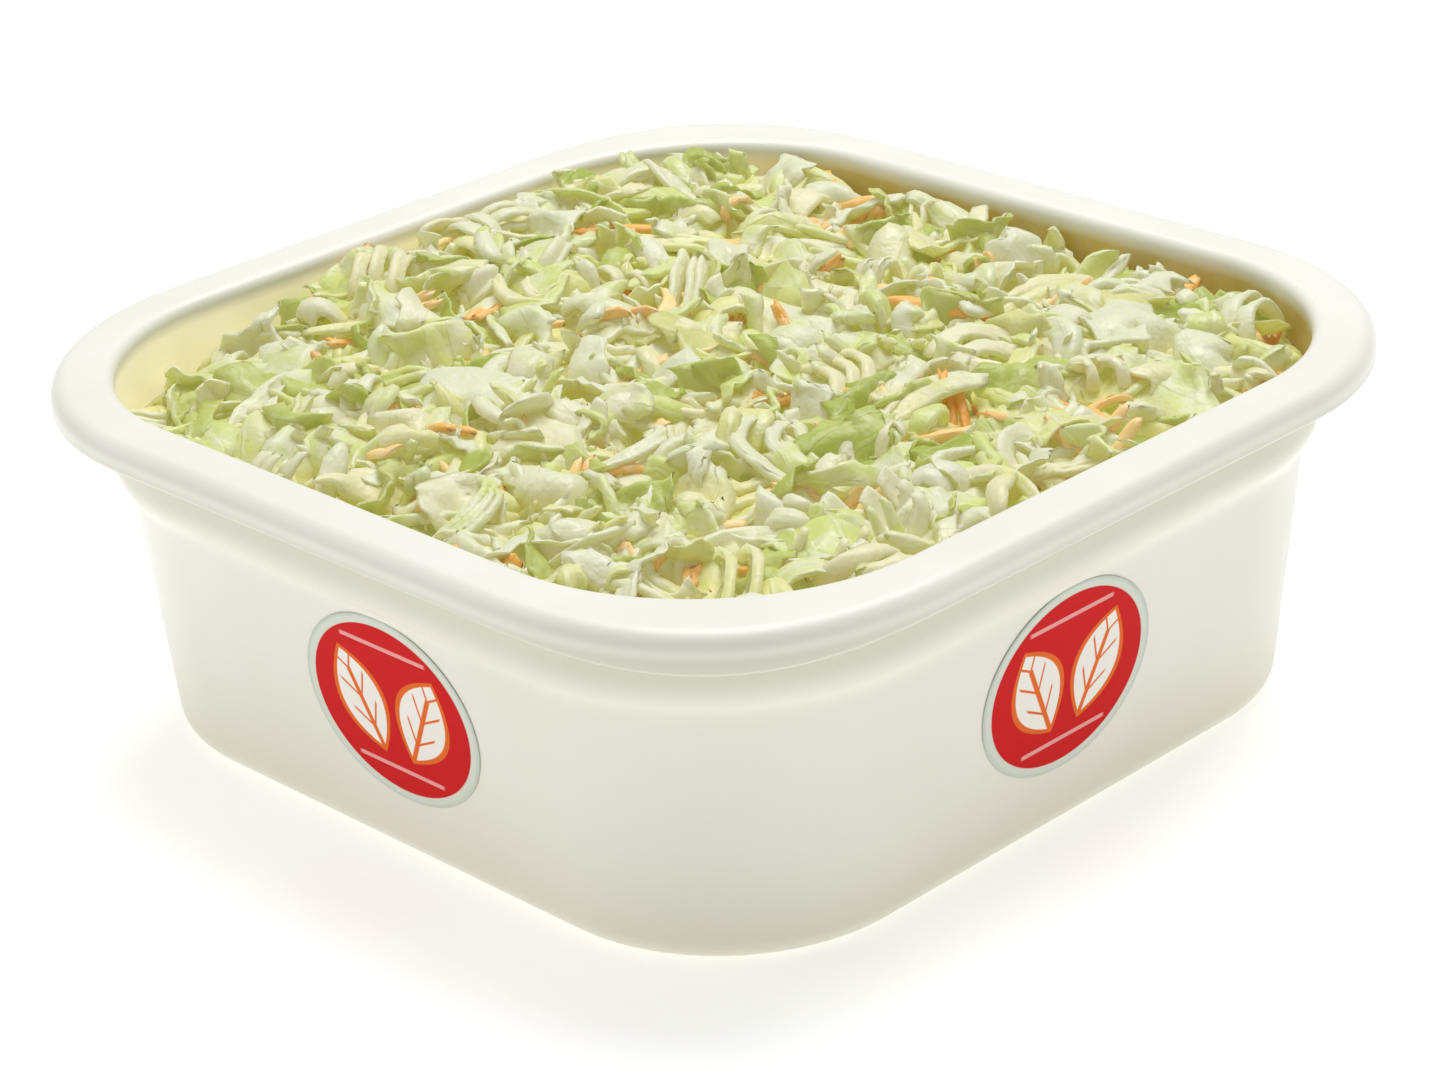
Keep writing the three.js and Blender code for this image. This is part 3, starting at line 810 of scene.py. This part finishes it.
def settle(surface, pile, rise):
    """Keeps a piece inside the tub, drops it until it rests on the pile, and drapes it over what
    lies below. It ends up to this rise above the level of the pile, and its tips a little higher.
    Gives back the surface, and from 0 to 1 how deep each point lies."""
    x, y, z = (surface[..., i] for i in range(3))
    for _ in range(2):
        over = half_at(x, y) - (SLAW_HALF - WALL_ROOM)
        worst = np.unravel_index(over.argmax(), over.shape)
        if over[worst] > 0:
            outward = np.array([x[worst], y[worst]])
            outward = np.sign(outward) * np.maximum(np.abs(outward) - CORE_HALF, 0)
            push = PUSH * over[worst] * outward / np.linalg.norm(outward)
            x, y = x - push[0], y - push[1]
    over = np.maximum(half_at(x, y) - (SLAW_HALF - WALL_ROOM), 0)
    squeeze = 1 - over / np.maximum(np.hypot(x, y), 1) * SQUEEZE
    x, y, z = x * squeeze, y * squeeze, z + over * SQUEEZE_LIFT
    ground = pile.level(x, y)
    z = z - np.quantile(z - ground, SUNK_SHARE)
    z = z + np.maximum(ground - z, 0) * DRAPE - np.maximum(z - ground, 0) * SAG
    level = pile_level(x, y)
    top = np.minimum(level + rise, pile_limit(x, y))
    z = z - max(np.quantile(z - top, LOW_SHARE), 0)
    above = np.maximum(z - top, 0)
    z = z - above + TIP_RISE * (1 - np.exp(-above / TIP_RISE))
    z = np.maximum(z, level - BED_DROP - DEEPEST)
    pile.add(x, y, z)
    depth = np.clip((level + PILE_RISE - z) / (PILE_RISE + SHADE_ROOM), 0, 1)
    return np.stack([x, y, z], axis=-1), depth


def lay_stack(cut, x0, y0, rise, lean, pile, draw):
    """Lays a piece, or a few alike side by side, turned at random and then leant to the near
    corner. Gives back, for each, its upper and lower surfaces and its notes."""
    surface, half_thick, along, across = cut_piece(cut, draw)
    roll, tilt = draw.normal(0, cut["roll"]), draw.normal(0, cut["tilt"])
    turn = Matrix.Rotation(lean, 3, (1, 1, 0)) @ Matrix.Rotation(draw.uniform(0, 2 * math.pi), 3, "Z")
    turn = np.array(turn @ Matrix.Rotation(tilt, 3, "Y") @ Matrix.Rotation(roll, 3, "X")).T
    tone, fresh = draw.uniform(size=2)
    count = draw.integers(1, cut["stack"] + 1)
    laid = []
    for i in range(count):
        beside = (i - (count - 1) / 2) * np.ptp(across) * STACK_PITCH
        slip = (draw.normal(0, SLIP_ALONG), beside, draw.normal(0, SLIP_UP))
        placed = (surface * draw.uniform(*STACK_SCALE) + slip) @ turn + (x0, y0, 0)
        placed, depth = settle(placed, pile, rise)
        normal = np.cross(np.gradient(placed, axis=0), np.gradient(placed, axis=1))
        normal /= np.maximum(np.linalg.norm(normal, axis=-1, keepdims=True), 1e-9)
        offset = normal * half_thick[..., None]
        own_tone = np.clip(tone + draw.normal(0, TONE_SPREAD), 0, 1)
        nature = np.stack([np.full_like(depth, own_tone), np.full_like(depth, fresh), depth], axis=-1)
        lie = np.stack([along, across, 1 - half_thick / half_thick.max()], axis=-1)
        laid.append((placed + offset, placed - offset, nature, lie))
    return laid


def sheet_faces(rows, columns):
    """The faces of two grids that share their border: the upper one, then the lower one's inside."""
    upper = np.arange(rows * columns).reshape(rows, columns)
    lower = upper.copy()
    inside = (rows - 2) * (columns - 2)
    lower[1:-1, 1:-1] = rows * columns + np.arange(inside).reshape(rows - 2, columns - 2)

    def quads(grid):
        corners = [grid[:-1, :-1], grid[1:, :-1], grid[1:, 1:], grid[:-1, 1:]]
        return np.stack(corners, axis=-1).reshape(-1, 4)
    return np.vstack([quads(upper), quads(lower)[:, ::-1]])


def sheet_points(uppers, lowers):
    """The points of such pairs of grids, in the order that the faces count them."""
    return np.vstack([
        np.vstack([upper.reshape(-1, 3), lower[1:-1, 1:-1].reshape(-1, 3)])
        for upper, lower in zip(uppers, lowers)
    ])


def spread_places(count, i):
    """This many places spread evenly over the mouth, from any start in an endless row of them."""
    places = []
    while len(places) < count:
        i += 1
        x = ((0.5 + i * SPREAD_X) % 1 * 2 - 1) * SLAW_HALF
        y = ((0.5 + i * SPREAD_Y) % 1 * 2 - 1) * SLAW_HALF
        if half_at(x, y) < SLAW_HALF - PLACE_MARGIN:
            places.append((x, y))
    return places


def join_pieces(name, pieces, material):
    """One mesh of all the pieces of a kind."""
    uppers, lowers, natures, lies = zip(*pieces)
    points = sheet_points(uppers, lowers)
    pattern = sheet_faces(*CUTS[name]["grid"])
    first_points = np.arange(len(pieces)) * (len(points) // len(pieces))
    faces = (pattern[None] + first_points[:, None, None]).reshape(-1, 4)
    notes = {"nature": sheet_points(natures, natures), "lie": sheet_points(lies, lies)}
    piece = solid_piece(name, points, faces.tolist(), material, notes)
    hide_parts("slaw")


def build_pieces(finishes):
    """Lays the pieces from the first to the last, then joins those of each kind into one mesh."""
    draw = np.random.default_rng(SLAW_SEED)
    turns = []
    for name, cut in CUTS.items():
        for place in spread_places(cut["count"], int(draw.integers(1000))):
            turns.append((draw.uniform(*cut["order"]), name, *place, 0.0))
        for place in SHOWN.get(name, ()):
            turns.append((draw.uniform(*SHOWN_ORDER), name, *place, SHOWN_LEAN))
    laid = {name: [] for name in CUTS}
    pile = Pile()
    for order, name, x, y, lean in sorted(turns):
        laid[name] += lay_stack(CUTS[name], x, y, PILE_RISE * order ** RISE_POWER, lean, pile, draw)
    for name, pieces in laid.items():
        join_pieces(name, pieces, finishes[name])


def build_floor():
    mesh = bpy.data.meshes.new("floor")
    reach = FLOOR_REACH
    corners = [(-reach, -reach, 0), (reach, -reach, 0), (reach, reach, 0), (-reach, reach, 0)]
    mesh.from_pydata(corners, [], [(0, 1, 2, 3)])
    mesh.materials.append(floor_finish())
    floor = bpy.data.objects.new("floor", mesh)
    bpy.context.scene.collection.objects.link(floor)


def add_light(name, place, size, power, colour):
    """A soft square light that points at the tub."""
    data = bpy.data.lights.new(name, "AREA")
    data.size = size
    data.energy = power
    data.color = colour
    light = bpy.data.objects.new(name, data)
    light.location = place
    light.rotation_euler = (Vector(LIGHT_AIM) - light.location).to_track_quat("-Z", "Y").to_euler()
    bpy.context.scene.collection.objects.link(light)


def light_studio():
    world = bpy.data.worlds.new("studio")
    world.use_nodes = True
    sky = world.node_tree.nodes["Background"].inputs
    sky["Color"].default_value = SKY_COLOUR
    sky["Strength"].default_value = SKY_STRENGTH
    bpy.context.scene.world = world
    bpy.context.scene.view_settings.view_transform = "Standard"
    for light in LIGHTS:
        add_light(*light)


def place_camera():
    """The camera of the photograph, from the angles and the focal length that fit the tub in it."""
    azimuth, elevation = VIEW_AZIMUTH, VIEW_ELEVATION
    flat = math.cos(elevation)
    back = Vector((math.sin(azimuth) * flat, -math.cos(azimuth) * flat, math.sin(elevation)))
    level = Vector((math.cos(azimuth), math.sin(azimuth), 0))
    roll = Matrix.Rotation(VIEW_ROLL, 3, back)
    right, up = roll @ level, roll @ back.cross(level)
    camera = bpy.data.objects.new("camera", bpy.data.cameras.new("camera"))
    turn = Matrix((right, up, back)).transposed().to_4x4()
    stand = (Vector((0, 0, AIM_HEIGHT)) + back * VIEW_DISTANCE) * MM
    camera.matrix_world = Matrix.Translation(stand) @ turn
    camera.data.sensor_width = SENSOR_WIDTH
    camera.data.lens = FOCAL_PIXELS / PHOTO_WIDTH * SENSOR_WIDTH
    camera.data.shift_x = (PHOTO_WIDTH / 2 - AIM_PIXEL[0]) / PHOTO_WIDTH
    camera.data.shift_y = (AIM_PIXEL[1] - PHOTO_HEIGHT / 2) / PHOTO_WIDTH
    camera.data.clip_start = 0.05
    bpy.context.scene.collection.objects.link(camera)
    bpy.context.scene.camera = camera


def build_coleslaw():
    build_tub()
    paper = sticker_finish()
    build_sticker("label_left", "sticker_left", 0, LEFT_SHIFT, paper)
    build_sticker("label_right", "sticker_right", math.pi / 2, RIGHT_SHIFT, paper)
    build_bed()
    # The third colour of each cabbage finish is the painted shade of what lies deep
    shaded = shade(206, 194, 92)
    leafy = cabbage_finish("leafy_cabbage", shade(202, 205, 186), shade(181, 192, 122), shaded)
    shredded = cabbage_finish("shredded_cabbage", shade(204, 206, 184), shade(185, 195, 129), shaded)
    ribs = cabbage_finish("cabbage_rib", shade(206, 208, 192), shade(195, 203, 168), shaded, gloss=0.3)
    outer = cabbage_finish(
        "outer_leaf", shade(160, 174, 92), shade(130, 150, 62), shade(116, 120, 42), dressed=0.2,
    )
    build_pieces({
        "cabbage_crumbs": leafy,
        "cabbage_shreds": shredded,
        "cabbage_curls": shredded,
        "cabbage_flakes": leafy,
        "cabbage_ribs": ribs,
        "green_leaves": outer,
        "carrot_sticks": carrot_finish(),
    })


build_coleslaw()
build_floor()
light_studio()
place_camera()
